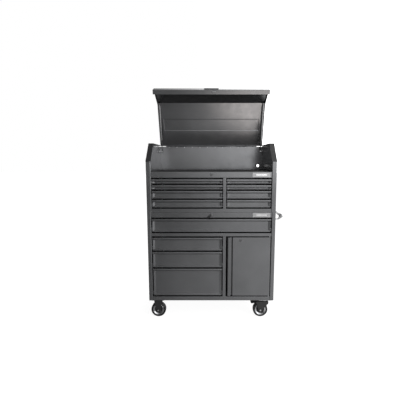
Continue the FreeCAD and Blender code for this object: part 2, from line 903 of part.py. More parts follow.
def locks():
    rail_tail = rail_flange + lock_flange_thickness
    lock_x, lock_z = door_lock_place()
    blade_front = -lock_flange_thickness - lock_plug_proud - key_blade_showing
    half = key_blade_width / 2
    blade = box(
        -key_blade_thickness / 2,
        key_blade_thickness / 2,
        blade_front,
        blade_front + key_blade_showing + keyway_depth,
        cabinet_lock_z - half,
        cabinet_lock_z + half,
    )
    pin_y = blade_front + half
    pin = V(0, pin_y, cabinet_lock_z)
    pin_start = pin - ALONG_X * key_blade_width
    blade = blade.cut(round_bar(pin_start, ALONG_X, key_pin_radius + running_fit, 2 * key_blade_width))
    thick = key_head_thickness / 2
    bow = [
        (pin_y + half, cabinet_lock_z + half),
        (pin_y + half, cabinet_lock_z - key_head_length),
        (pin_y + half - key_head_width, cabinet_lock_z - key_head_length),
        (pin_y + half - key_head_width, cabinet_lock_z - half),
        (pin_y - half, cabinet_lock_z + half),
    ]
    head = outline(bow, across(-thick), [3, 4, 6, 6, 3]).extrude(ALONG_X * key_head_thickness)
    cheek = key_blade_thickness / 2 + key_cheek_gap
    room = key_blade_width * 0.75
    fork = box(-cheek, cheek, pin_y - room - half, pin_y + room, cabinet_lock_z - room, cabinet_lock_z + room)
    head = head.cut(fork)
    head = fused(head, round_bar(pin - ALONG_X * thick, ALONG_X, key_pin_radius, key_head_thickness))
    for piece in (blade, head):
        piece.rotate(V(0, 0, cabinet_lock_z), ALONG_Y, key_angle)
    return {
        "rail_lock_housings": group([lock_housing(0, chest_lock_z), lock_housing(0, cabinet_lock_z)]),
        "door_lock_housing": lock_housing(lock_x, lock_z),
        "chest_lock_plug": lock_plug(0, chest_lock_z, rail_tail, 0),
        "cabinet_lock_plug": group([lock_plug(0, cabinet_lock_z, rail_tail, key_angle), blade]),
        "door_lock_plug": lock_plug(lock_x, lock_z, lock_barrel_length + sheet, 0),
        "key_head": head,
    }


def opened(shape):
    """The lid's pieces are built shut: this turns them up to the angle where the struts hold them."""
    turned_up = shape.copy()
    turned_up.rotate(V(0, hinge_y, hinge_z), ALONG_X, -lid_open_angle)
    return turned_up


def lid_path():
    """Outer face of the lid's section when it is shut, from its rear flange to its front return."""
    slope_end = lid_top - lid_bend_distance * tan(radians(wing_angle))
    return [
        (lid_rear, hinge_z - lid_rear_flange),
        (lid_rear, lid_top),
        (lid_bend_distance, lid_top),
        (0, slope_end),
        (0, lip_bottom),
        (lid_lip_return, lip_bottom),
    ]


def lid():
    path = lid_path()
    skin = folded(path, across(-lid_half), [fold_radius] * 4).extrude(ALONG_X * 2 * lid_half)
    rim = path[1:5]
    inner = offset_path(rim, lid_skirt)
    cheek = outline(rim + inner[::-1], across(0)).extrude(ALONG_X * sheet)
    cheeks = []
    for x in (-lid_half, lid_half - sheet):
        side = cheek.copy()
        side.translate(V(x, 0, 0))
        cheeks.append(side)
    near = lid_bend_distance + band_near_bend
    far = lid_bend_distance + band_far_bend
    half = lid_half - band_side_margin
    bands = []
    for z in (lid_top, lid_top - sheet):
        bands.append(pressed_band(half, near, far, z))
    return fused(skin, *cheeks, bands[0]).cut(bands[1])


def pressed_band(half, near, far, z):
    """Flat-topped ridge across the lid, as a loft from its foot to its top."""
    rings = []
    for rise, inset in ((0, 0), (band_height, band_bevel)):
        x, y0, y1 = half - inset, near + inset, far - inset
        corners = [V(-x, y0, z + rise), V(x, y0, z + rise), V(x, y1, z + rise), V(-x, y1, z + rise)]
        rings.append(Part.makePolygon(corners + corners[:1]))
    return Part.makeLoft(rings, True, True)


def lid_pieces():
    z = lip_bottom + lid_pull_above_lip
    wall = lid_pull_wall
    hook = [
        (0, z + lid_pull_height),
        (-wall, z + lid_pull_height),
        (-wall, z + 2 * wall),
        (-lid_pull_reach, z + 2 * wall),
        (-lid_pull_reach, z),
        (wall - lid_pull_reach, z),
        (wall - lid_pull_reach, z + wall),
        (0, z + wall),
    ]
    half = lid_pull_length / 2
    grip = outline(hook, across(-half), [0, 1.2, 2, 2, 1, 1, 1, 0]).extrude(ALONG_X * lid_pull_length)
    x0, x1 = latch_offset - striker_width / 2, latch_offset + striker_width / 2
    y0, y1 = striker_setback - striker_wire / 2, striker_setback + striker_wire / 2
    loop = box(x0, x1, y0, y1, lip_bottom - striker_drop, lip_bottom)
    room = box(x0 + striker_wire, x1 - striker_wire, y0, y1, lip_bottom - striker_drop + striker_wire, lip_bottom)
    inner_face = lid_half - sheet
    tip = strut_offset + strut_end_width / 2 + stud_gap
    stud = round_bar(V(tip, strut_top[0], strut_top[1]), ALONG_X, stud_radius, inner_face - tip)
    seat = round_bar(V(inner_face - stud_seat, strut_top[0], strut_top[1]), ALONG_X, stud_seat_radius, stud_seat)
    stud = fused(stud, seat)
    return {
        "lid": opened(lid()),
        "lid_pull": opened(grip),
        "lid_fittings": opened(group([loop.cut(room), stud, mirrored(stud)])),
    }


def hinge():
    """Piano hinge: the case leaf carries the pin, and the lid leaf's knuckles turn on it."""
    pitch = hinge_length / hinge_knuckles
    start = -hinge_length / 2
    case_y = hinge_y + hinge_radius - hinge_leaf / 2
    lid_y = lid_rear
    leaf_bottom = hinge_z - hinge_leaf_height
    case_parts = [round_bar(V(start, hinge_y, hinge_z), ALONG_X, hinge_pin_radius, hinge_length)]
    lid_parts = []
    gaps = []
    for i in range(hinge_knuckles):
        x0, x1 = start + i * pitch, start + (i + 1) * pitch
        if i % 2:
            x0, x1 = x0 + hinge_end_play, x1 - hinge_end_play
        knuckle = round_bar(V(x0, hinge_y, hinge_z), ALONG_X, hinge_radius, x1 - x0)
        leaf_y = lid_y if i % 2 else case_y
        tab = box(x0, x1, leaf_y, leaf_y + hinge_leaf, leaf_bottom + hinge_leaf_height / 2, hinge_z)
        (lid_parts if i % 2 else case_parts).extend([knuckle, tab])
    low = leaf_bottom + hinge_leaf_height / 2
    case_parts.append(box(start, -start, case_y, case_y + hinge_leaf, leaf_bottom, low))
    lid_parts.append(box(start, -start, lid_y, lid_y + hinge_leaf, leaf_bottom, low))
    bore = round_bar(V(start, hinge_y, hinge_z), ALONG_X, hinge_pin_radius + running_fit, hinge_length)
    return {
        "lid_hinge_case_leaf": fused(*case_parts),
        "lid_hinge_leaf": opened(fused(*lid_parts).cut(bore)),
    }


def strut_line():
    """Where the strut starts and which way it points while the lid stands open."""
    angle = radians(-lid_open_angle)
    dy, dz = strut_top[0] - hinge_y, strut_top[1] - hinge_z
    y = hinge_y + dy * cos(angle) - dz * sin(angle)
    z = hinge_z + dy * sin(angle) + dz * cos(angle)
    foot = V(strut_offset, strut_foot[0], strut_foot[1])
    way = V(0, y, z) - V(0, foot.y, foot.z)
    length = way.Length
    return foot, way.normalize(), length


def struts():
    foot, way, length = strut_line()
    half = ALONG_X * (strut_end_width / 2)
    tube_start = strut_rod_showing
    tube_end = length - strut_tube_to_pivot
    rod_length = tube_end - strut_plug - strut_stroke_spare
    eye = round_bar(foot - half, ALONG_X, strut_end_radius, strut_end_width)
    rod = fused(eye, round_bar(foot, way, strut_rod_radius, rod_length))
    rod = rod.cut(round_bar(foot - half, ALONG_X, stud_radius + running_fit, strut_end_width))
    tube = round_bar(foot + way * tube_start, way, strut_tube_radius, tube_end - tube_start)
    neck = round_bar(foot + way * tube_end, way, strut_rod_radius + 1, length - tube_end)
    socket = round_bar(foot + way * length - half, ALONG_X, strut_end_radius, strut_end_width)
    bore_length = tube_end - strut_plug - tube_start
    bore = round_bar(foot + way * tube_start, way, strut_rod_radius + running_fit, bore_length)
    cylinder = fused(tube, neck, socket).cut(bore)
    plate_face = chest_inner - bracket_thickness
    stud_tip = strut_offset - strut_end_width / 2
    plate = outline(
        [
            (foot.y - bracket_length / 2, foot.z - bracket_height / 2),
            (foot.y + bracket_length / 2, foot.z - bracket_height / 2),
            (foot.y + bracket_length / 2, foot.z + bracket_height / 2),
            (foot.y - bracket_length / 2, foot.z + bracket_height / 2),
        ],
        across(plate_face),
        [6, 6, 6, 6],
    ).extrude(ALONG_X * bracket_thickness)
    pin = round_bar(V(stud_tip, foot.y, foot.z), ALONG_X, stud_radius, plate_face - stud_tip)
    shoulder_start = strut_offset + strut_end_width / 2 + stud_gap
    shoulder = round_bar(V(shoulder_start, foot.y, foot.z), ALONG_X, stud_seat_radius, plate_face - shoulder_start)
    bracket = fused(plate, pin, shoulder)
    return {
        "strut_rod_right": rod,
        "strut_rod_left": mirrored(rod),
        "strut_tube_right": cylinder,
        "strut_tube_left": mirrored(cylinder),
        "strut_case_brackets": pair(bracket),
    }


def wheel(x, y):
    """Tyre and hub as two solids about an axle along Y."""
    half = wheel_width / 2
    tread = [
        (tyre_inner_radius, -half + 3),
        (wheel_radius - 7, -half),
        (wheel_radius - 1.5, -half + 5),
        (wheel_radius, -half + 11),
        (wheel_radius, half - 11),
        (wheel_radius - 1.5, half - 5),
        (wheel_radius - 7, half),
        (tyre_inner_radius, half - 3),
    ]
    rim = tyre_inner_radius - tyre_gap
    bore = axle_radius + running_fit
    boss_end = half + fork_side_gap - fork_hub_gap
    dish = [
        (bore, -boss_end),
        (hub_boss_radius, -boss_end),
        (hub_boss_radius, -half / 3),
        (rim - 6, -half / 3),
        (rim - 4, -half + 2),
        (rim, -half + 2),
    ]
    dish += [(r, -h) for r, h in dish[::-1]]
    base = V(x, y, wheel_radius)
    return group([turned(tread, base, ALONG_Y), turned(dish, base, ALONG_Y)])


def axle(x, y, reach):
    """Bolt through the fork, with a head at the front and a nut at the back."""
    profile = [
        (0, -reach - axle_head_height),
        (axle_head_radius - 1, -reach - axle_head_height),
        (axle_head_radius, -reach),
        (axle_radius, -reach),
        (axle_radius, reach),
        (axle_head_radius, reach),
        (axle_head_radius - 1, reach + axle_head_height),
        (0, reach + axle_head_height),
    ]
    return turned(profile, V(x, y, wheel_radius), ALONG_Y)


def fork(x, y, crown_x, crown_top, pivot=None):
    """Pressed fork: two tapered legs under a crown. Returns the fork and the reach of its axle."""
    inner = wheel_width / 2 + fork_side_gap
    outer = inner + fork_wall
    bottom = wheel_radius - fork_foot_radius
    left = crown_x - fork_crown_half
    right = crown_x + fork_crown_half
    if pivot is not None:
        left = min(left, pivot - pedal_pin_radius - fork_wall)
    shape = [
        (left, crown_top),
        (left, crown_top - 4 * fork_wall),
        (x - fork_foot_radius, wheel_radius),
        (x - fork_foot_radius, bottom),
        (x + fork_foot_radius, bottom),
        (x + fork_foot_radius, wheel_radius),
        (right, crown_top - 4 * fork_wall),
        (right, crown_top),
    ]
    rounds = [0, 6, 0, fork_foot_radius - 1, fork_foot_radius - 1, 0, 6, 0]
    legs = []
    for y0 in (y - outer, y + inner):
        leg = outline(shape, facing(y0), rounds).extrude(ALONG_Y * fork_wall)
        legs.append(leg)
    crown_left = crown_x - fork_crown_half
    crown = box(crown_left, right, y - outer, y + outer, crown_top - fork_crown_thickness, crown_top)
    body = fused(*legs, crown)
    body = body.cut(round_bar(V(x, y - outer, wheel_radius), ALONG_Y, axle_radius, 2 * outer))
    return body, outer


def castors():
    """Rigid pair on the left. Swivelling pair with foot brakes on the right."""
    rigid_x = castor_inset_x - half_width
    swivel_x = half_width - castor_inset_x
    trail_x = swivel_x - swivel_offset
    plate_bottom = castor_height - castor_plate_thickness
    nodes, rigid, plates = {}, [], []
    for row, y in zip(("front", "rear"), castor_rows()):
        def plate(x):
            return box(
                x - castor_plate_x / 2,
                x + castor_plate_x / 2,
                y - castor_plate_y / 2,
                y + castor_plate_y / 2,
                plate_bottom,
                castor_height,
            )
        body, reach = fork(rigid_x, y, rigid_x, plate_bottom)
        rigid += [fused(body, plate(rigid_x)), axle(rigid_x, y, reach)]
        nodes[f"wheel_{row}_left"] = wheel(rigid_x, y)
        pin_foot = V(swivel_x, y, fork_crown_height)
        pin_hole = round_bar(pin_foot, ALONG_Z, kingpin_radius + running_fit, castor_height)
        upper_bottom = plate_bottom - race_height
        upper = round_bar(V(swivel_x, y, upper_bottom), ALONG_Z, race_radius, race_height)
        plates.append(fused(plate(swivel_x), upper).cut(pin_hole))
        pivot_x = swivel_x - pedal_pivot_offset
        body, reach = fork(trail_x, y, swivel_x, fork_crown_height, pivot_x)
        lower_height = upper_bottom - race_gap - fork_crown_height
        lower = round_bar(pin_foot, ALONG_Z, race_radius - 3, lower_height)
        pin = round_bar(pin_foot, ALONG_Z, kingpin_radius, castor_height - sheet - fork_crown_height)
        body = fused(body, lower, pin)
        pin_z = pedal_pivot_height
        ear = wheel_width / 2 + fork_side_gap + fork_wall
        body = body.cut(round_bar(V(pivot_x, y - ear, pin_z), ALONG_Y, pedal_pin_radius + running_fit, 2 * ear))
        nodes[f"castor_fork_{row}_right"] = group([body, axle(trail_x, y, reach)])
        nodes[f"wheel_{row}_right"] = wheel(trail_x, y)
        nodes[f"brake_pedal_{row}"] = pedal(pivot_x, y, pin_z)
    nodes["rigid_castor_forks"] = group(rigid)
    nodes["castor_plates"] = group(plates)
    return nodes


def pedal(x, y, z):
    """Foot brake: a cranked plate on a cross pin between the fork's ears."""
    half = wheel_width / 2 + fork_side_gap - pedal_side_gap
    drop = pedal_reach * tan(radians(pedal_slope))
    top = z + pedal_thickness / 2
    path = [
        (x + 2 * pedal_thickness, top),
        (x - pedal_thickness, top),
        (x - pedal_reach, top - drop),
        (x - pedal_reach - pedal_lip / 2, top - drop + pedal_lip),
    ]
    plate = folded(path, facing(y - half), [0, 3], pedal_thickness).extrude(ALONG_Y * 2 * half)
    ear = half + pedal_side_gap + fork_wall
    pin = round_bar(V(x, y - ear, z), ALONG_Y, pedal_pin_radius, 2 * ear)
    return fused(plate, pin)


def badges():
    upper, upper_rivets = badge(chest_inner, chest_lock_z)
    lower, lower_rivets = badge(cabinet_inner, cabinet_lock_z)
    return {"badge_plates": group([upper, lower]), "badge_rivets": group(upper_rivets + lower_rivets)}


nodes = {}
for made in (
    cabinet_case, chest_case, badges, side_handle, drawers, door, locks, lid_pieces, hinge, struts, castors,
):
    nodes.update(made())

# Reach of the part beyond the case, used to centre it on its own box
right_reach = handle_stand_off + handle_radius + bracket_outer_wall
front_reach = lock_flange_thickness + lock_plug_proud + key_blade_showing + key_head_width - key_blade_width
rear_reach = grommet_rear_flange
to_centre = V(-right_reach / 2, (front_reach - case_depth - rear_reach) / 2, 0)

os.makedirs("parts", exist_ok=True)
for name, shape in nodes.items():
    shape.translate(to_centre)
    shape.exportStep(f"parts/{name}.step")
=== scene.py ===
from math import pi, radians

import bmesh
import bpy
import numpy as np
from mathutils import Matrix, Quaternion, Vector


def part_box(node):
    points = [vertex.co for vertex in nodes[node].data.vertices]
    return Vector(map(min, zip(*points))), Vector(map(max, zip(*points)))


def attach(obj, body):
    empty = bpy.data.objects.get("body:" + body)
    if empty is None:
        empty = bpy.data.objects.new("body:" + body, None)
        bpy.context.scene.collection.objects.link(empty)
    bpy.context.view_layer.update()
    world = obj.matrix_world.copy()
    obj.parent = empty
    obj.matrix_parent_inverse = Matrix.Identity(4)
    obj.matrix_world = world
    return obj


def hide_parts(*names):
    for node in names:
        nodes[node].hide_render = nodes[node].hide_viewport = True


bl_info = {
    "name": "Tool Chest and Cabinet",
    "version": (1, 0, 0),
    "blender": (4, 5, 0),
    "location": "View3D > Sidebar > Tool Chest",
    "description": "Finishes, wheels, mat, hem, fasteners and stage for a tool chest on a cabinet",
    "category": "Object",
}

# Sizes in metres that the CAD model has and a node's box doesn't tell
PLATED_REACH = 0.0126  # from a drawer's sides in past its runners and tray walls
FRONT_THICKNESS = 0.0255
LEAF_THICKNESS = 0.0012
BRACKET_THICKNESS = 0.0016
BAR_DEPTH = 0.0018

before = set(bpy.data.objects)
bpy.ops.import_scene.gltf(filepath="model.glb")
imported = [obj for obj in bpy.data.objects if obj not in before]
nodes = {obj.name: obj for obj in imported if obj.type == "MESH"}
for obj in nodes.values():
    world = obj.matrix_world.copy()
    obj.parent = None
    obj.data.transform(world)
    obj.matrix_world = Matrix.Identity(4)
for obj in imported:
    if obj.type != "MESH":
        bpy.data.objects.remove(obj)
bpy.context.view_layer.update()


def corner_box(node):
    """Lowest and highest corner of a CAD node, as two arrays."""
    low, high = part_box(node)
    return np.array(low), np.array(high)


panel_low, panel_high = corner_box("chest_side_panels")
case_middle = float(panel_low[0] + panel_high[0]) / 2
front_plane = float(corner_box("chest_front_rails")[0][1])
drawer_names = sorted(name for name in nodes if "_drawer_" in name)
wheel_names = sorted(name for name in nodes if name.startswith("wheel_"))


class StageSettings(bpy.types.PropertyGroup):
    """Camera, lamps and floor."""
    lens: bpy.props.FloatProperty(
        name="Lens", description="Focal length on a 36 mm sensor", default=28.04, unit="CAMERA")
    camera_distance: bpy.props.FloatProperty(
        name="Camera distance", description="From the front of the case", default=2.643, unit="LENGTH")
    camera_height: bpy.props.FloatProperty(
        name="Camera height", description="Above the floor", default=1.362, unit="LENGTH")
    camera_tilt: bpy.props.FloatProperty(
        name="Camera tilt", description="Down from level", default=radians(7.81), subtype="ANGLE")
    shift: bpy.props.FloatVectorProperty(
        name="Shift", description="Lens shift across and up", default=(-0.00805, -0.0106), size=2)
    floor_size: bpy.props.FloatProperty(
        name="Floor size", description="Edge of the square floor", default=60.0, unit="LENGTH")
    floor_colour: bpy.props.FloatVectorProperty(
        name="Floor colour", description="Colour of the floor under the lamps", default=(0.22, 0.22, 0.22),
        subtype="COLOR", size=3)
    floor_glow: bpy.props.FloatProperty(
        name="Floor glow", description="White that the floor shows to the camera", default=0.93)
    floor_mirrored: bpy.props.FloatProperty(
        name="Floor mirrored", description="White that the floor on the right shows to mirroring surfaces",
        default=0.62)
    floor_fade: bpy.props.FloatProperty(
        name="Floor fade", description="Half the width over which that white fades out to the left",
        default=0.8, unit="LENGTH")
    world_left: bpy.props.FloatProperty(
        name="World left", description="Strength of the surroundings on the left", default=0.12)
    world_right: bpy.props.FloatProperty(
        name="World right", description="Strength of the surroundings on the right", default=2.4)
    world_spread: bpy.props.FloatProperty(
        name="World spread", description="Sideways share of a direction where that change ends",
        default=0.25)
    world_above: bpy.props.FloatProperty(
        name="World above", description="Share of it that is left high up and low down", default=0.4)
    world_band_start: bpy.props.FloatProperty(
        name="World band start", description="Upward share of a direction where the darkening begins",
        default=0.1)
    world_band: bpy.props.FloatProperty(
        name="World band", description="Upward share of a direction where it is full", default=0.55)
    world_front: bpy.props.FloatProperty(
        name="World front", description="Backward share of a direction up to which all its height counts",
        default=-0.2)
    world_back: bpy.props.FloatProperty(
        name="World back", description="Backward share of a direction where only a part of it counts",
        default=0.3)
    world_back_share: bpy.props.FloatProperty(
        name="World back share", description="That part of a direction's height", default=0.2)
    lamp_target: bpy.props.FloatVectorProperty(
        name="Lamp target", description="Where the lamps point, from the foot of the case's front",
        default=(0.3, 0.0, 1.0), subtype="TRANSLATION", size=3)
    key_place: bpy.props.FloatVectorProperty(
        name="Key place", description="Large lamp on the right, from the foot of the case's front",
        default=(2.6, -2.2, 2.3), subtype="TRANSLATION", size=3)
    key_size: bpy.props.FloatVectorProperty(
        name="Key size", description="Width and height of the key lamp", default=(1.2, 1.6), size=2)
    key_power: bpy.props.FloatProperty(
        name="Key power", description="Power of the large lamp on the right", default=36.0)
    low_place: bpy.props.FloatVectorProperty(
        name="Low place", description="Low panel, from the foot of the case's front",
        default=(0.81, -2.65, 0.02), subtype="TRANSLATION", size=3)
    low_size: bpy.props.FloatVectorProperty(
        name="Low size", description="Width and depth of the low panel", default=(1.3, 1.3), size=2)
    low_turn: bpy.props.FloatProperty(
        name="Low turn", description="Turn of the low panel on the floor", default=radians(-33),
        subtype="ANGLE")
    low_power: bpy.props.FloatProperty(
        name="Low power", description="Power of the low panel that the open lid mirrors", default=11.0)
    low_colour: bpy.props.FloatVectorProperty(
        name="Low colour", description="Colour of the low panel", default=(1.0, 0.91, 0.85),
        subtype="COLOR", size=3)
    top_place: bpy.props.FloatVectorProperty(
        name="Top place", description="Lamp overhead, from the foot of the case's front",
        default=(0.4, -0.8, 3.4), subtype="TRANSLATION", size=3)
    top_size: bpy.props.FloatVectorProperty(
        name="Top size", description="Width and depth of the lamp overhead", default=(2.4, 1.6), size=2)
    top_power: bpy.props.FloatProperty(
        name="Top power", description="Power of the lamp overhead", default=6.0)


class FinishSettings(bpy.types.PropertyGroup):
    """Colours of the finishes."""
    enamel: bpy.props.FloatVectorProperty(
        name="Enamel", description="Dark grey powder coat of the case", default=(0.19, 0.192, 0.198),
        subtype="COLOR", size=3)
    plastic: bpy.props.FloatVectorProperty(
        name="Plastic", description="Black moulded parts", default=(0.012, 0.012, 0.013),
        subtype="COLOR", size=3)
    rubber: bpy.props.FloatVectorProperty(
        name="Rubber", description="Mat and bush", default=(0.016, 0.016, 0.017), subtype="COLOR", size=3)
    tyre: bpy.props.FloatVectorProperty(
        name="Tyre", description="Rubber of the tyres", default=(0.009, 0.009, 0.0095),
        subtype="COLOR", size=3)
    hub: bpy.props.FloatVectorProperty(
        name="Hub", description="Nylon of the hubs", default=(0.035, 0.035, 0.037), subtype="COLOR", size=3)
    fork: bpy.props.FloatVectorProperty(
        name="Fork", description="Black paint of the castor forks", default=(0.035, 0.035, 0.035),
        subtype="COLOR", size=3)
    lock: bpy.props.FloatVectorProperty(
        name="Lock", description="Darkened metal of the locks", default=(0.16, 0.16, 0.165),
        subtype="COLOR", size=3)
    zinc: bpy.props.FloatVectorProperty(
        name="Zinc", description="Plated slides and fasteners", default=(0.56, 0.565, 0.58),
        subtype="COLOR", size=3)
    steel: bpy.props.FloatVectorProperty(
        name="Steel", description="Bare and chromed steel", default=(0.6, 0.6, 0.61),
        subtype="COLOR", size=3)
    tube: bpy.props.FloatVectorProperty(
        name="Handle steel", description="Tube and brackets of the push handle",
        default=(0.36, 0.36, 0.365), subtype="COLOR", size=3)
    strut: bpy.props.FloatVectorProperty(
        name="Strut paint", description="Tubes of the lid struts", default=(0.4, 0.4, 0.405),
        subtype="COLOR", size=3)
    badge: bpy.props.FloatVectorProperty(
        name="Badge", description="Blank trim plates", default=(0.42, 0.42, 0.425), subtype="COLOR", size=3)
    badge_bar: bpy.props.FloatVectorProperty(
        name="Badge bar", description="Raised bar of the trim plates", default=(0.72, 0.72, 0.725),
        subtype="COLOR", size=3)
    peel: bpy.props.FloatProperty(
        name="Orange peel", description="Height of the coat's ripple", default=0.000014, unit="LENGTH")


class WheelSettings(bpy.types.PropertyGroup):
    """Tyres, rims, hubs and axles."""
    tread_grooves: bpy.props.IntProperty(
        name="Tread grooves", description="Grooves round the tread", default=3)
    groove_depth: bpy.props.FloatProperty(
        name="Groove depth", description="Depth of a tread groove", default=0.0012, unit="LENGTH")
    spokes: bpy.props.IntProperty(name="Spokes", description="Ribs on each face of the hub", default=6)
    spoke_height: bpy.props.FloatProperty(
        name="Spoke height", description="How far the ribs stand off the web", default=0.006, unit="LENGTH")
    tyre_inner: bpy.props.FloatProperty(
        name="Tyre seat", description="Radius where the tyre meets the rim", default=0.047, unit="LENGTH")
    rim_slope: bpy.props.FloatProperty(
        name="Rim slope", description="Width of the slope inside the tyre", default=0.0095, unit="LENGTH")
    rim_depth: bpy.props.FloatProperty(
        name="Rim depth", description="How far that slope goes in", default=0.0055, unit="LENGTH")
    rim_wall: bpy.props.FloatProperty(
        name="Rim wall", description="Rim left on both sides of that slope", default=0.0035, unit="LENGTH")
    boss_radius: bpy.props.FloatProperty(
        name="Boss", description="Radius of the hub's middle", default=0.013, unit="LENGTH")
    boss_stand: bpy.props.FloatProperty(
        name="Boss stand", description="From the tyre to the end of the boss", default=0.003, unit="LENGTH")
    bore_radius: bpy.props.FloatProperty(
        name="Bore", description="Radius of the hole for the axle", default=0.00605, unit="LENGTH")
    axle_head: bpy.props.FloatProperty(
        name="Axle head", description="Radius of the bare steel on an axle's end", default=0.0068,
        unit="LENGTH")


class DetailSettings(bpy.types.PropertyGroup):
    """Mat, hem and fasteners."""
    rib_pitch: bpy.props.FloatProperty(
        name="Rib pitch", description="From one rib of the mat to the next", default=0.006, unit="LENGTH")
    rib_height: bpy.props.FloatProperty(
        name="Rib height", description="Height of a rib of the mat", default=0.0009, unit="LENGTH")
    hem_thickness: bpy.props.FloatProperty(
        name="Hem thickness", description="Sheet of the hem at the hinge", default=0.0012, unit="LENGTH")
    hem_drop: bpy.props.FloatProperty(
        name="Hem drop", description="Hem's edge below the top of the hinge", default=0.0055, unit="LENGTH")
    hem_overlap: bpy.props.FloatProperty(
        name="Hem overlap", description="How far the hem reaches below the back panel's edge",
        default=0.0005, unit="LENGTH")
    bolt_radius: bpy.props.FloatProperty(
        name="Bolt head", description="Radius across the corners of a handle bolt", default=0.0055,
        unit="LENGTH")
    bolt_height: bpy.props.FloatProperty(
        name="Bolt height", description="Height of a handle bolt's head", default=0.003, unit="LENGTH")
    bolt_inset: bpy.props.FloatProperty(
        name="Bolt inset", description="Handle bolt from the foot's edges", default=0.007, unit="LENGTH")
    bolt_end_gap: bpy.props.FloatProperty(
        name="Bolt end gap", description="Handle bolt from the foot's upper or lower end", default=0.02,
        unit="LENGTH")
    screw_radius: bpy.props.FloatProperty(
        name="Screw head", description="Radius of a bracket screw", default=0.0042, unit="LENGTH")
    screw_height: bpy.props.FloatProperty(
        name="Screw height", description="Height of a bracket screw's head", default=0.0022, unit="LENGTH")
    screw_inset: bpy.props.FloatProperty(
        name="Screw inset", description="Screw from the bracket's end", default=0.009, unit="LENGTH")
    rivet_radius: bpy.props.FloatProperty(
        name="Rivet head", description="Radius of a hinge rivet", default=0.0028, unit="LENGTH")
    rivet_height: bpy.props.FloatProperty(
        name="Rivet height", description="Height of a hinge rivet's head", default=0.0012, unit="LENGTH")
    rivet_count: bpy.props.IntProperty(
        name="Rivets", description="Rivets along the piano hinge", default=12)
    rivet_end_gap: bpy.props.FloatProperty(
        name="Rivet end gap", description="First and last rivet from the hinge's end", default=0.03,
        unit="LENGTH")
    rivet_rise: bpy.props.FloatProperty(
        name="Rivet rise", description="Rivets above the leaf's lower edge", default=0.004, unit="LENGTH")


class ToolChestSettings(bpy.types.PropertyGroup):
    """All settings of the part."""
    stage: bpy.props.PointerProperty(type=StageSettings)
    finish: bpy.props.PointerProperty(type=FinishSettings)
    wheel: bpy.props.PointerProperty(type=WheelSettings)
    detail: bpy.props.PointerProperty(type=DetailSettings)


class NodeTree:
    """Short way to write a material: each call adds a node, sets its values and links its inputs."""

    def __init__(self, tree):
        self.tree = tree
        tree.nodes.clear()

    def add(self, kind, inputs=None, **settings):
        """New node of a kind. An input is a value or another node's output."""
        node = self.tree.nodes.new(kind)
        for key, value in settings.items():
            setattr(node, key, value)
        for key, value in (inputs or {}).items():
            if isinstance(value, bpy.types.NodeSocket):
                self.tree.links.new(value, node.inputs[key])
            else:
                node.inputs[key].default_value = value
        return node

    def math(self, operation, first, second=0.0, third=None):
        """Output of one sum, product or comparison."""
        inputs = {0: first, 1: second}
        if third is not None:
            inputs[2] = third
        return self.add("ShaderNodeMath", inputs, operation=operation).outputs[0]

    def place(self, centre=(0, 0, 0), scale=(1, 1, 1)):
        """Object coordinates, moved so that centre is the origin and then scaled."""
        at = self.add("ShaderNodeTexCoord").outputs["Object"]
        moved = self.add("ShaderNodeVectorMath", {0: at, 1: centre}, operation="SUBTRACT").outputs[0]
        return self.add("ShaderNodeVectorMath", {0: moved, 1: scale}, operation="MULTIPLY").outputs[0]

    def noise(self, where, size, detail=3.0, low=0.0, high=1.0):
        """Noise with features of the given size in metres, spread from low to high."""
        cloud = self.add("ShaderNodeTexNoise", {"Vector": where, "Scale": 1 / size, "Detail": detail})
        spread = {"From Min": 0.3, "From Max": 0.7, "To Min": low, "To Max": high}
        return self.add("ShaderNodeMapRange", {"Value": cloud.outputs["Fac"], **spread}).outputs[0]

    def tint(self, colour, factor):
        """The colour times a factor near one."""
        rgb = self.add("ShaderNodeRGB")
        rgb.outputs[0].default_value = (*colour, 1)
        inputs = {0: rgb.outputs[0], "Scale": factor}
        return self.add("ShaderNodeVectorMath", inputs, operation="SCALE").outputs[0]

    def bump(self, height, distance):
        """Normal that is tilted by a height field of the given depth in metres."""
        inputs = {"Height": height, "Distance": distance, "Strength": 1.0}
        return self.add("ShaderNodeBump", inputs).outputs[0]

    def output(self, shader):
        self.add("ShaderNodeOutputMaterial", {"Surface": shader})


def coat_shader(tree, colour, peel, roughness=0.2):
    """Powder coat: orange peel, a slight cloud in its colour and in its gloss."""
    where = tree.place()
    shade = tree.noise(where, 0.18, 2.0, 0.93, 1.07)
    gloss = tree.noise(where, 0.05, 3.0, roughness - 0.03, roughness + 0.04)
    ripple = tree.noise(where, 0.0022, 2.0)
    return tree.add("ShaderNodeBsdfPrincipled", {
        "Base Color": tree.tint(colour, shade),
        "Roughness": gloss,
        "Metallic": 0.75,
        "Normal": tree.bump(ripple, peel),
    }).outputs[0]


def metal_shader(tree, colour, roughness=0.28, grain=(1, 1, 1), metallic=1.0):
    """Bare or plated metal: fine scratches along the grain, blotches in its gloss."""
    along = tree.place(scale=grain)
    scratch = tree.noise(along, 0.0009, 4.0)
    blotch = tree.noise(tree.place(), 0.012, 3.0, 0.9, 1.06)
    gloss = tree.noise(along, 0.004, 4.0, roughness - 0.05, roughness + 0.08)
    return tree.add("ShaderNodeBsdfPrincipled", {
        "Base Color": tree.tint(colour, blotch),
        "Roughness": gloss,
        "Metallic": metallic,
        "Normal": tree.bump(scratch, 0.000012),
    }).outputs[0]


def plastic_shader(tree, colour, roughness=0.45):
    """Moulded plastic with a fine spark-eroded grain."""
    where = tree.place()
    grain = tree.noise(where, 0.0011, 2.0)
    gloss = tree.noise(where, 0.03, 2.0, roughness - 0.05, roughness + 0.05)
    shade = tree.noise(where, 0.02, 3.0, 0.85, 1.15)
    return tree.add("ShaderNodeBsdfPrincipled", {
        "Base Color": tree.tint(colour, shade),
        "Roughness": gloss,
        "Normal": tree.bump(grain, 0.00005),
    }).outputs[0]


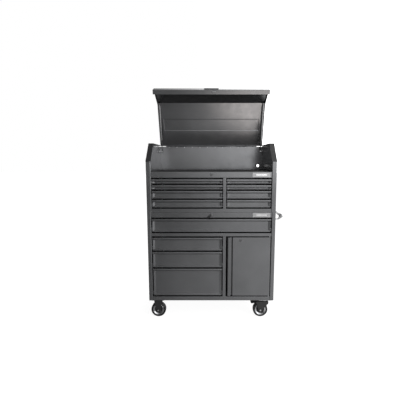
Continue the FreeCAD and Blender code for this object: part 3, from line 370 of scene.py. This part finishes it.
def rubber_shader(tree, colour, roughness=0.6):
    """Rubber with faint dust."""
    where = tree.place()
    dust = tree.noise(where, 0.015, 4.0, 0.8, 1.5)
    grain = tree.noise(where, 0.0007, 2.0)
    gloss = tree.noise(where, 0.02, 2.0, roughness - 0.08, roughness + 0.08)
    return tree.add("ShaderNodeBsdfPrincipled", {
        "Base Color": tree.tint(colour, dust),
        "Roughness": gloss,
        "Normal": tree.bump(grain, 0.00003),
    }).outputs[0]


def new_material(name, build):
    """Material whose surface is what build returns for its tree."""
    material = bpy.data.materials.new(name)
    material.use_nodes = True
    tree = NodeTree(material.node_tree)
    tree.output(build(tree))
    return material


def drawer_material(name, colours, peel):
    """Coat on the front and tray floor, and plate on the runners and the tray walls that carry them."""
    low, high = corner_box(name)
    middle = float(low[0] + high[0]) / 2
    half_coated = float(high[0] - low[0]) / 2 - PLATED_REACH
    behind_front = float(low[1]) + FRONT_THICKNESS

    def build(tree):
        at = tree.add("ShaderNodeSeparateXYZ", {0: tree.place((middle, 0, 0))})
        side = tree.math("GREATER_THAN", tree.math("ABSOLUTE", at.outputs[0]), half_coated)
        back = tree.math("GREATER_THAN", at.outputs[1], behind_front)
        plated = tree.math("MULTIPLY", side, back)
        coat = coat_shader(tree, colours.enamel, peel)
        zinc = metal_shader(tree, colours.zinc, grain=(1, 0.05, 1))
        return tree.add("ShaderNodeMixShader", {0: plated, 1: coat, 2: zinc}).outputs[0]

    return new_material(name + "_finish", build)


def fork_material(name, axles, colours, axle_head):
    """Black paint on the fork, and bare steel on the ends of its axles."""
    def build(tree):
        black = metal_shader(tree, colours.fork, 0.3, metallic=0.2)
        steel = metal_shader(tree, colours.steel, 0.25)
        nearest = None
        for centre in axles:
            at = tree.add("ShaderNodeSeparateXYZ", {0: tree.place(centre)})
            reach = tree.math("SQRT", tree.math(
                "ADD", tree.math("POWER", at.outputs[0], 2.0), tree.math("POWER", at.outputs[2], 2.0)))
            nearest = reach if nearest is None else tree.math("MINIMUM", nearest, reach)
        head = tree.math("LESS_THAN", nearest, axle_head)
        return tree.add("ShaderNodeMixShader", {0: head, 1: black, 2: steel}).outputs[0]

    return new_material(name, build)


def badge_shader(tree, colours):
    """Brushed plate, with a polished face on the raised bar that stands proudest."""
    plate = metal_shader(tree, colours.badge, 0.36, (0.04, 1, 1))
    bar = metal_shader(tree, colours.badge_bar, 0.2, (0.04, 1, 1))
    at = tree.add("ShaderNodeSeparateXYZ", {0: tree.place((0, front_plane - BAR_DEPTH, 0))})
    raised = tree.math("LESS_THAN", at.outputs[1], 0.0)
    return tree.add("ShaderNodeMixShader", {0: raised, 1: plate, 2: bar}).outputs[0]


def paint_node(name, material):
    """Give a CAD node one material."""
    mesh = nodes[name].data
    mesh.materials.clear()
    mesh.materials.append(material)


def wheel_centre(name):
    """Middle of a wheel, on its axle."""
    low, high = corner_box(name)
    return (low + high) / 2


def mesh_piece(name, points, faces, material, body, slot, smooth=True):
    """Closed mesh object at the origin from an array of points and a list of faces, riding on a body."""
    mesh = bpy.data.meshes.new(name)
    mesh.from_pydata(points.reshape(-1, 3).tolist(), [], [list(face) for face in faces])
    mesh.polygons.foreach_set("use_smooth", np.full(len(mesh.polygons), smooth))
    mesh.materials.append(material)
    mesh.update()
    piece = bpy.data.objects.new(name, mesh)
    bpy.context.scene.collection.objects.link(piece)
    point_outwards(piece)
    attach(piece, body)
    return piece


def ring_piece(name, points, material, body, slot):
    """Mesh object from the points of a closed ring."""
    faces = grid_faces(*points.shape[:2], close_rows=True, close_columns=True)
    return mesh_piece(name, points, faces, material, body, slot)


def grid_faces(rows, columns, close_rows=False, close_columns=False):
    """Quads of a rows by columns grid of points, counted row by row."""
    i = np.arange(rows if close_rows else rows - 1)
    j = np.arange(columns if close_columns else columns - 1)
    i, j = np.meshgrid(i, j, indexing="ij")
    below, after = (i + 1) % rows, (j + 1) % columns
    corners = [i * columns + j, i * columns + after, below * columns + after, below * columns + j]
    return np.stack(corners, axis=-1).reshape(-1, 4)


def ring(radii, heights, turns, centre, lift=None):
    """Closed surface of revolution about Y.

    Point (k, t) is centre + (r cos t, h, r sin t), for the k-th radius and height of a closed profile.
    lift, an array of one value per point, is added to the height.
    """
    t = np.linspace(0, 2 * pi, turns, endpoint=False)
    r = np.asarray(radii)[:, None]
    h = np.asarray(heights)[:, None] + (0 if lift is None else lift)
    x, z = r * np.cos(t), r * np.sin(t)
    y = np.broadcast_to(h, x.shape)
    return np.stack([x, y, z], axis=-1) + np.asarray(centre)


def bar_of(profile, start, end):
    """Points and faces of a bar along X from start to end, with a closed profile of (y, z) points."""
    count = len(profile)
    points = np.empty((2, count, 3))
    points[:, :, 0] = np.array([start, end])[:, None]
    points[:, :, 1:] = profile
    faces = grid_faces(2, count, close_columns=True).tolist()
    return points, faces + [range(count), range(count, 2 * count)]


def tyre_points(centre, width, radius, inner, grooves, depth):
    """Tyre section: a round-shouldered tread with grooves, a bead on each side, and the seat on the rim.

    Across the tread the radius is R - crown y^2 - depth times a raised cosine at each groove.
    """
    half = width / 2
    tread = np.linspace(-0.78 * half, 0.78 * half, 41)
    crown = 0.0012 * (tread / half) ** 2
    wave = 0.5 + 0.5 * np.cos(2 * pi * tread * grooves / (1.3 * half))
    cut = depth * wave ** 6 * (np.abs(tread) < 0.62 * half)
    outer = np.stack([radius - crown - cut, tread], axis=1)
    shoulder = radius - 0.0035
    flank = np.array([
        (shoulder, 0.93 * half), (radius - 0.008, 0.99 * half), (inner + 0.006, half - 0.0015),
        (inner + 0.0045, half - 0.0006), (inner + 0.003, half - 0.0006), (inner + 0.0015, half - 0.002),
        (inner, half - 0.0035),
    ])
    mirror = flank[::-1] * (1, -1)
    profile = np.concatenate([outer, flank, mirror])
    return ring(profile[:, 0], profile[:, 1], 96, centre)


def hub_points(centre, width, rim, boss, boss_end, bore, spokes, height):
    """Hub section: outer lip, dished web and boss on both faces, closed through the bore.

    The web of each face is lifted by height times a raised cosine of the spoke count round the hub.
    """
    half = width / 2
    face = np.array([
        (bore, boss_end), (boss - 0.001, boss_end), (boss, boss_end - 0.001), (boss + 0.001, half * 0.45),
        (boss + 0.004, half * 0.36), ((boss + rim) / 2, half * 0.33), (rim - 0.01, half * 0.33),
        (rim - 0.0065, half * 0.42), (rim - 0.004, half - 0.0095), (rim - 0.003, half - 0.0085),
        (rim - 0.001, half - 0.0085), (rim, half - 0.0095),
    ])
    web = np.array([0, 0, 0, 0.2, 1, 1, 1, 0.3, 0, 0, 0, 0])
    profile = np.concatenate([face, face[::-1] * (1, -1)])
    side = np.concatenate([web, -web[::-1]])
    t = np.linspace(0, 2 * pi, 144, endpoint=False)
    rib = (0.5 + 0.5 * np.cos(spokes * t)) ** 3
    lift = side[:, None] * rib[None, :] * height
    return ring(profile[:, 0], profile[:, 1], len(t), centre, lift)


def rim_points(centre, width, seat, slope_width, slope_depth):
    """Ring between hub and tyre: a rounded lip at the tyre, and a slope down to the hub on both faces."""
    lip = width / 2 - 0.002
    foot = seat - 0.0025 - slope_width
    low = lip - slope_depth
    face = np.array([
        (foot - 0.001, low - 0.001), (foot, low), (foot + 0.001, low + 0.0003),
        (seat - 0.0035, lip - 0.0005), (seat - 0.0025, lip), (seat - 0.001, lip), (seat, lip - 0.0015),
    ])
    profile = np.concatenate([face, face[::-1] * (1, -1)])
    return ring(profile[:, 0], profile[:, 1], 96, centre)


def head_points(centres, axis, radius, height, sides=0):
    """Fastener heads at the centres, pointing along the axis.

    Point (k, t) of a head is r_k s(t) across the axis and h_k along it. s(t) is 1 for a round head and
    the distance to a polygon's side for a hexagonal one. Returns points of shape (heads, rings, turns, 3).
    """
    turns = 24
    t = np.linspace(0, 2 * pi, turns, endpoint=False)
    scale = np.ones(turns)
    if sides:
        step = 2 * pi / sides
        scale = np.cos(step / 2) / np.cos((t + step / 2) % step - step / 2)
        r = np.array([0.98, 1.0, 1.0, 0.9, 0.55, 0.5, 0.02]) * radius
        h = np.array([0.0, 0.04, 0.8, 1.0, 1.0, 0.86, 0.86]) * height
    else:
        r = np.array([1.0, 0.98, 0.86, 0.6, 0.3, 0.02]) * radius
        h = np.array([0.0, 0.3, 0.65, 0.9, 0.99, 1.0]) * height
    axis = np.asarray(axis, float)
    across = np.cross(axis, (0.0, 0.0, 1.0) if abs(axis[2]) < 0.9 else (1.0, 0.0, 0.0))
    across /= np.linalg.norm(across)
    other = np.cross(axis, across)
    circle = scale[:, None] * (np.cos(t)[:, None] * across + np.sin(t)[:, None] * other)
    head = r[:, None, None] * circle + h[:, None, None] * axis
    return np.asarray(centres, float)[:, None, None, :] + head


def add_heads(name, centres, axis, radius, height, material, body, slot, sides=0):
    """One object that holds all the heads of one kind."""
    points = head_points(centres, axis, radius, height, sides)
    count, rings, turns, _ = points.shape
    faces = grid_faces(rings, turns, close_columns=True)
    offset = (np.arange(count) * rings * turns)[:, None, None]
    faces = (faces[None] + offset).reshape(-1, 4)
    return mesh_piece(name, points, faces, material, body, slot, smooth=not sides)


def point_outwards(piece):
    """Turn every face of a closed piece outwards."""
    work = bmesh.new()
    work.from_mesh(piece.data)
    bmesh.ops.remove_doubles(work, verts=work.verts, dist=1e-6)
    bmesh.ops.recalc_face_normals(work, faces=work.faces)
    work.to_mesh(piece.data)
    work.free()


class TOOLCHEST_OT_finishes(bpy.types.Operator):
    """Give every part of the chest and cabinet its finish"""
    bl_idname = "toolchest.finishes"
    bl_label = "Apply finishes"

    def execute(self, context):
        colours = context.scene.tool_chest.finish
        axle_head = context.scene.tool_chest.wheel.axle_head
        peel = colours.peel
        made = {
            "enamel": new_material("grey_enamel", lambda t: coat_shader(t, colours.enamel, peel)),
            "plastic": new_material("black_plastic", lambda t: plastic_shader(t, colours.plastic)),
            "rubber": new_material("black_rubber", lambda t: rubber_shader(t, colours.rubber)),
            "zinc": new_material("zinc_plate", lambda t: metal_shader(t, colours.zinc, 0.3)),
            "slide": new_material("slide_steel", lambda t: metal_shader(t, colours.zinc, 0.3, (1, 0.05, 1))),
            "chrome": new_material("chromed_steel", lambda t: metal_shader(t, colours.steel, 0.12)),
            "lock": new_material("lock_metal", lambda t: metal_shader(t, colours.lock, 0.3)),
            "tube": new_material("brushed_tube", lambda t: metal_shader(t, colours.tube, 0.3, (1, 0.04, 1))),
            "badge": new_material("badge_plate", lambda t: badge_shader(t, colours)),
            "strut": new_material("strut_paint", lambda t: metal_shader(t, colours.strut, 0.25)),
        }
        by_node = {
            "side_caps": "plastic", "key_head": "plastic", "brake_pedal_front": "plastic",
            "brake_pedal_rear": "plastic", "till_mat": "rubber", "cable_grommet": "rubber",
            "slide_channels": "slide", "castor_plates": "zinc", "lid_fittings": "zinc",
            "strut_case_brackets": "zinc", "strut_rod_left": "chrome", "strut_rod_right": "chrome",
            "strut_tube_left": "strut", "strut_tube_right": "strut", "badge_plates": "badge",
            "badge_rivets": "zinc", "door_hinge_pins": "zinc", "rail_lock_housings": "lock",
            "door_lock_housing": "lock", "door_lock_plug": "lock", "chest_lock_plug": "lock",
            "cabinet_lock_plug": "chrome", "side_handle": "tube", "side_handle_brackets": "tube",
        }
        for name in nodes:
            if name not in drawer_names:
                paint_node(name, made[by_node.get(name, "enamel")])
        for name in drawer_names:
            paint_node(name, drawer_material(name, colours, peel))
        left = [tuple(wheel_centre(name)) for name in wheel_names if name.endswith("left")]
        paint_node("rigid_castor_forks", fork_material("rigid_fork_paint", left, colours, axle_head))
        for row in ("front", "rear"):
            centre = tuple(wheel_centre(f"wheel_{row}_right"))
            material = fork_material(f"swivel_fork_paint_{row}", [centre], colours, axle_head)
            paint_node(f"castor_fork_{row}_right", material)
        return {"FINISHED"}


class TOOLCHEST_OT_wheels(bpy.types.Operator):
    """Build the tyre, rim and hub of each castor"""
    bl_idname = "toolchest.wheels"
    bl_label = "Build wheels"

    def execute(self, context):
        sizes = context.scene.tool_chest.wheel
        colours = context.scene.tool_chest.finish
        rubber = new_material("tyre_rubber", lambda t: rubber_shader(t, colours.tyre, 0.38))
        nylon = new_material("hub_nylon", lambda t: plastic_shader(t, colours.hub, 0.3))
        bright = new_material("rim_steel", lambda t: metal_shader(t, colours.zinc, 0.22))
        seat = sizes.tyre_inner
        hub_radius = seat - sizes.rim_slope - sizes.rim_wall
        for name in wheel_names:
            low, high = corner_box(name)
            centre = (low + high) / 2
            boss_end = float(high[1] - low[1]) / 2
            width = 2 * (boss_end - sizes.boss_stand)
            tyre = tyre_points(
                centre, width, float(high[2] - low[2]) / 2, seat, sizes.tread_grooves, sizes.groove_depth)
            rim = rim_points(centre, width, seat, sizes.rim_slope, sizes.rim_depth)
            hub = hub_points(
                centre, width, hub_radius, sizes.boss_radius, boss_end, sizes.bore_radius,
                sizes.spokes, sizes.spoke_height)
            for piece_name, points, material, slot in (
                ("_tyre", tyre, rubber, "tread_rubber"),
                ("_rim", rim, bright, "zinc_steel"),
                ("_hub", hub, nylon, "black_plastic"),
            ):
                piece = ring_piece(name + piece_name, points, material, name + "_body", slot)
                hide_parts(name)
        return {"FINISHED"}


class TOOLCHEST_OT_till_mat(bpy.types.Operator):
    """Lay the ribbed rubber mat in the till"""
    bl_idname = "toolchest.till_mat"
    bl_label = "Lay till mat"

    def execute(self, context):
        sizes = context.scene.tool_chest.detail
        low, high = corner_box("till_mat")
        count = int(round((high[1] - low[1]) / sizes.rib_pitch))
        y = np.linspace(low[1], high[1], count * 8 + 1)
        phase = (y - low[1]) / sizes.rib_pitch * 2 * pi
        top = high[2] - sizes.rib_height * (0.5 - 0.5 * np.cos(phase)) ** 3
        profile = np.concatenate([np.stack([y, top], 1), [[high[1], low[2]], [low[1], low[2]]]])
        mat = mesh_piece(
            "ribbed_mat", *bar_of(profile, low[0], high[0]), bpy.data.materials["black_rubber"], "case",
            "mat_rubber", smooth=False)
        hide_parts("till_mat")
        return {"FINISHED"}


class TOOLCHEST_OT_back_hem(bpy.types.Operator):
    """Stand the back panel's folded edge up behind the piano hinge"""
    bl_idname = "toolchest.back_hem"
    bl_label = "Fold back hem"

    def execute(self, context):
        sizes = context.scene.tool_chest.detail
        low, high = corner_box("lid_hinge_case_leaf")
        bottom = corner_box("chest_back_panel")[1][2] - sizes.hem_overlap
        top = high[2] - sizes.hem_drop
        near, far = high[1], high[1] + sizes.hem_thickness
        profile = np.array([(near, bottom), (far, bottom), (far, top), (near, top)])
        mesh_piece(
            "back_hem", *bar_of(profile, low[0], high[0]), bpy.data.materials["grey_enamel"], "case",
            "grey_enamel", smooth=False)
        return {"FINISHED"}


class TOOLCHEST_OT_fasteners(bpy.types.Operator):
    """Add the bolts, screws and rivets that show"""
    bl_idname = "toolchest.fasteners"
    bl_label = "Add fasteners"

    def execute(self, context):
        sizes = context.scene.tool_chest.detail
        zinc = bpy.data.materials["zinc_plate"]
        rivets, bolts = hinge_rivet_places(sizes), handle_bolt_places(sizes)
        kinds = [
            ("hinge_rivets", rivets, (0, -1, 0), sizes.rivet_radius, sizes.rivet_height, 0),
            ("handle_bolts", bolts, (1, 0, 0), sizes.bolt_radius, sizes.bolt_height, 6),
        ]
        for side, way in (("left", 1), ("right", -1)):
            kinds.append((
                f"strut_bracket_screws_{side}", strut_screw_places(sizes, side), (way, 0, 0),
                sizes.screw_radius, sizes.screw_height, 0))
        for name, places, axis, radius, height, sides in kinds:
            add_heads(name, places, axis, radius, height, zinc, "case", "zinc_steel", sides)
        return {"FINISHED"}


def hinge_rivet_places(sizes):
    """Rivets in a row on the case leaf of the piano hinge."""
    low, high = corner_box("lid_hinge_case_leaf")
    leaf_face = high[1] - LEAF_THICKNESS
    height = low[2] + sizes.rivet_rise
    first, last = low[0] + sizes.rivet_end_gap, high[0] - sizes.rivet_end_gap
    return np.array([(x, leaf_face, height) for x in np.linspace(first, last, sizes.rivet_count)])


def handle_bolt_places(sizes):
    """Two bolts in the foot of each bracket of the side handle."""
    low, high = corner_box("side_handle_brackets")
    across = low[0] + sizes.bolt_inset
    middles = (low[1] + sizes.bolt_inset, high[1] - sizes.bolt_inset)
    heights = (low[2] + sizes.bolt_end_gap, high[2] - sizes.bolt_end_gap)
    return np.array([(across, y, z) for y in middles for z in heights])


def strut_screw_places(sizes, side):
    """Two screws in each case bracket of the struts."""
    low, high = corner_box("strut_case_brackets")
    face = low[0] + BRACKET_THICKNESS if side == "left" else high[0] - BRACKET_THICKNESS
    height = (low[2] + high[2]) / 2
    return np.array([(face, y, height) for y in (low[1] + sizes.screw_inset, high[1] - sizes.screw_inset)])


class TOOLCHEST_OT_stage(bpy.types.Operator):
    """Set the floor, lamps, world and camera"""
    bl_idname = "toolchest.stage"
    bl_label = "Set the stage"

    def execute(self, context):
        stage = context.scene.tool_chest.stage
        add_floor(stage)
        add_world(stage)
        foot = Vector((case_middle, front_plane, 0.0))
        target = foot + stage.lamp_target
        add_lamp("key_lamp", foot + stage.key_place, target, stage.key_size, stage.key_power)
        add_lamp("top_lamp", foot + stage.top_place, target, stage.top_size, stage.top_power)
        low = foot + stage.low_place
        upwards = low + Vector((0, 0, 1))
        panel = add_lamp("low_panel", low, upwards, stage.low_size, stage.low_power, stage.low_turn)
        panel.data.color = stage.low_colour
        light_only(panel, ["lid"])
        add_camera(stage)
        context.scene.view_settings.view_transform = "Standard"
        return {"FINISHED"}


def add_floor(stage):
    """Square floor that the lamps light, with the white that the camera sees added to it."""
    half = stage.floor_size / 2
    points = np.array([(-half, -half, 0), (half, -half, 0), (half, half, 0), (-half, half, 0)], float)
    mesh = bpy.data.meshes.new("floor")
    mesh.from_pydata(points.tolist(), [], [(0, 1, 2, 3)])
    floor = bpy.data.objects.new("floor", mesh)
    bpy.context.scene.collection.objects.link(floor)

    def build(tree):
        lit = tree.add("ShaderNodeBsdfDiffuse", {"Color": (*stage.floor_colour, 1)}).outputs[0]
        glow = tree.add("ShaderNodeEmission", {"Color": (1, 1, 1, 1), "Strength": seen(tree, stage)})
        return tree.add("ShaderNodeAddShader", {0: lit, 1: glow.outputs[0]}).outputs[0]

    mesh.materials.append(new_material("floor_paint", build))


def seen(tree, stage):
    """Strength for rays from the camera and for mirrored rays, and nothing for the light on the object."""
    path = tree.add("ShaderNodeLightPath")
    across = tree.add("ShaderNodeSeparateXYZ", {0: tree.place((case_middle, 0, 0))}).outputs[0]
    white = tree.add("ShaderNodeMapRange", {
        "Value": across, "From Min": -stage.floor_fade, "From Max": stage.floor_fade,
        "To Min": 0.0, "To Max": stage.floor_mirrored}).outputs[0]
    mirrored = tree.math("MULTIPLY", path.outputs["Is Glossy Ray"], white)
    return tree.math("MULTIPLY_ADD", path.outputs["Is Camera Ray"], stage.floor_glow, mirrored)


def add_world(stage):
    """White for the camera. All other rays meet surroundings that brighten from left to right.

    In front of the object they are brightest at eye level and darker high up and low down.
    """
    world = bpy.data.worlds.new("studio")
    world.use_nodes = True
    tree = NodeTree(world.node_tree)
    way = tree.add("ShaderNodeTexCoord").outputs["Generated"]
    across, away, up = tree.add("ShaderNodeSeparateXYZ", {0: way}).outputs
    spread = {
        "Value": across, "From Min": -stage.world_spread, "From Max": stage.world_spread,
        "To Min": stage.world_left, "To Max": stage.world_right,
    }
    level = tree.add("ShaderNodeMapRange", spread, interpolation_type="SMOOTHSTEP").outputs[0]
    in_front = tree.add("ShaderNodeMapRange", {
        "Value": away, "From Min": stage.world_front, "From Max": stage.world_back,
        "To Min": 1.0, "To Max": stage.world_back_share}).outputs[0]
    fall = {
        "Value": tree.math("MULTIPLY", tree.math("ABSOLUTE", up), in_front),
        "From Min": stage.world_band_start, "From Max": stage.world_band,
        "To Min": 1.0, "To Max": stage.world_above,
    }
    band = tree.add("ShaderNodeMapRange", fall, interpolation_type="SMOOTHSTEP").outputs[0]
    light = tree.math("MULTIPLY", level, band)
    camera = tree.add("ShaderNodeLightPath").outputs["Is Camera Ray"]
    strength = tree.math("MAXIMUM", light, camera)
    back = tree.add("ShaderNodeBackground", {"Color": (1, 1, 1, 1), "Strength": strength})
    tree.add("ShaderNodeOutputWorld", {"Surface": back.outputs[0]})
    bpy.context.scene.world = world


def add_lamp(name, place, target, size, power, turn=0.0):
    """Rectangular lamp at a place, facing a target and turned about its own axis."""
    data = bpy.data.lights.new(name, "AREA")
    data.shape = "RECTANGLE"
    data.size, data.size_y = size
    data.energy = power
    lamp = bpy.data.objects.new(name, data)
    bpy.context.scene.collection.objects.link(lamp)
    lamp.location = place
    facing = (target - place).to_track_quat("-Z", "Y")
    facing.rotate(Quaternion((0, 0, 1), turn))
    lamp.rotation_euler = facing.to_euler()
    return lamp


def light_only(lamp, names):
    """Let the lamp reach the named CAD nodes and nothing else."""
    lit = bpy.data.collections.new(lamp.name + "_reach")
    for name in names:
        lit.objects.link(nodes[name])
    lamp.light_linking.receiver_collection = lit


def add_camera(stage):
    """Camera in front of the case, tilted down and shifted to the photograph's frame."""
    data = bpy.data.cameras.new("camera")
    data.sensor_width = 36.0
    data.sensor_fit = "HORIZONTAL"
    data.lens = stage.lens
    data.shift_x, data.shift_y = stage.shift
    camera = bpy.data.objects.new("camera", data)
    camera.location = (case_middle, front_plane - stage.camera_distance, stage.camera_height)
    camera.rotation_euler = (pi / 2 - stage.camera_tilt, 0, 0)
    bpy.context.scene.collection.objects.link(camera)
    bpy.context.scene.camera = camera


class TOOLCHEST_PT_panel(bpy.types.Panel):
    """Buttons for each group of pieces"""
    bl_idname = "TOOLCHEST_PT_panel"
    bl_label = "Tool Chest"
    bl_space_type = "VIEW_3D"
    bl_region_type = "UI"
    bl_category = "Tool Chest"

    def draw(self, context):
        for operator in PIECES:
            self.layout.operator(operator.bl_idname)


PIECES = (
    TOOLCHEST_OT_finishes,
    TOOLCHEST_OT_wheels,
    TOOLCHEST_OT_till_mat,
    TOOLCHEST_OT_back_hem,
    TOOLCHEST_OT_fasteners,
    TOOLCHEST_OT_stage,
)
GROUPS = (StageSettings, FinishSettings, WheelSettings, DetailSettings, ToolChestSettings)


def register():
    for item in GROUPS + PIECES + (TOOLCHEST_PT_panel,):
        bpy.utils.register_class(item)
    bpy.types.Scene.tool_chest = bpy.props.PointerProperty(type=ToolChestSettings)


def unregister():
    del bpy.types.Scene.tool_chest
    for item in reversed(GROUPS + PIECES + (TOOLCHEST_PT_panel,)):
        bpy.utils.unregister_class(item)


def main():
    register()
    bpy.ops.toolchest.finishes()
    bpy.ops.toolchest.wheels()
    bpy.ops.toolchest.till_mat()
    bpy.ops.toolchest.back_hem()
    bpy.ops.toolchest.fasteners()
    bpy.ops.toolchest.stage()


if __name__ == "__main__":
    main()
